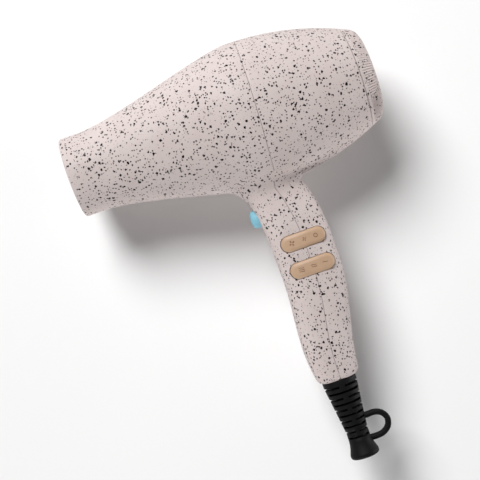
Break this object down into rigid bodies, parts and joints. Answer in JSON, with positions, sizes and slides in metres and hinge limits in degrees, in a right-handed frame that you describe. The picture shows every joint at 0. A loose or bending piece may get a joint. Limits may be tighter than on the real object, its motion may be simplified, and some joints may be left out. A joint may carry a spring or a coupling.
{
  "type": "hair dryer",
  "caption": "Hand-held hair dryer with a swelling barrel, a waisted handle with two rocker switches, a cool-shot button, a removable intake filter cap and a strain relief with a hanging loop.",
  "frame": {"origin": "on the barrel's axis, at the plane of the nozzle's end", "axes": "+X along the barrel from the nozzle to the air intake, the handle points along -Y, +Z is the side with the rocker switches; the dryer lies on its side with its barrel's lowest point at z = -47.6 mm"},
  "size_m": [0.201, 0.2776, 0.0952],
  "materials": {
    "shell": "matte speckled",
    "black_nylon": "matte",
    "tan_plastic": "satin",
    "blue_plastic": "satin",
    "black_rubber": "matte",
    "mica": "satin",
    "heating_wire": "oxidised",
    "steel": "bright",
    "mesh_steel": "woven",
    "magnet": "dull",
    "bronze": "sintered",
    "carbon": "dull",
    "copper": "enamelled",
    "board": "solder mask",
    "ivory_plastic": "matte",
    "gold_film": "gloss",
    "red_insulation": "satin",
    "white_insulation": "satin",
    "brown_insulation": "satin"
  },
  "bodies": {
    "housing": {"front_housing": "shell", "rear_housing": "shell", "intake_guard": "black_nylon", "outlet_ring": "black_nylon", "outlet_grille": "black_nylon", "heat_shield": "mica", "mica_board_upright": "mica", "mica_board_level": "mica", "main_coil": "heating_wire", "booster_coil": "heating_wire", "thermostat": "steel", "thermal_fuse": "ivory_plastic", "motor_can": "steel", "motor_magnets": "magnet", "motor_end_cap": "black_nylon", "motor_bearings": "bronze", "carbon_brushes": "carbon", "fan_duct": "black_nylon", "damper_rings": "black_rubber", "rocker_pins": "steel", "speed_switch": "black_nylon", "heat_switch": "black_nylon", "cool_shot_spring": "steel", "cool_shot_switch": "black_nylon", "circuit_board": "board", "rectifier_diodes": "black_nylon", "capacitor": "gold_film", "terminal_block": "ivory_plastic", "mains_leads": "brown_insulation", "motor_leads": "red_insulation", "heater_leads": "white_insulation", "cord_clamp": "black_nylon", "clamp_screws": "steel", "housing_screws": "steel", "strain_relief": "black_rubber"},
    "cool_shot_button": {"cool_shot_button": "blue_plastic"},
    "speed_rocker": {"speed_rocker": "tan_plastic"},
    "heat_rocker": {"heat_rocker": "tan_plastic"},
    "rotor": {"armature": "steel", "armature_windings": "copper", "commutator": "copper", "motor_shaft": "steel", "fan_impeller": "black_nylon"},
    "filter_cover": {"filter_cap": "shell", "filter_mesh": "mesh_steel"}
  },
  "joints": [
    {"name": "fan_spin", "type": "hinge", "parent": "housing", "child": "rotor", "pos_m": [0.12, 0, 0], "axis": [1, 0, 0], "continuous": true},
    {"name": "cool_shot_press", "type": "slide", "parent": "housing", "child": "cool_shot_button", "axis": [1, 0, 0], "range_m": [0, 0.0025], "stiffness_N_per_m": 500, "springref_m": -0.001, "deforming": ["cool_shot_spring"]},
    {"name": "speed_rock", "type": "hinge", "parent": "housing", "child": "speed_rocker", "pos_m": [0.1248, -0.0859, 0.011], "axis": [0, 1, 0], "range_deg": [-6, 6]},
    {"name": "heat_rock", "type": "hinge", "parent": "housing", "child": "heat_rocker", "pos_m": [0.1248, -0.1035, 0.011], "axis": [0, 1, 0], "range_deg": [-6, 6]},
    {"name": "filter_pull", "type": "slide", "parent": "housing", "child": "filter_cover", "axis": [1, 0, 0], "range_m": [0, 0.03]}
  ]
}
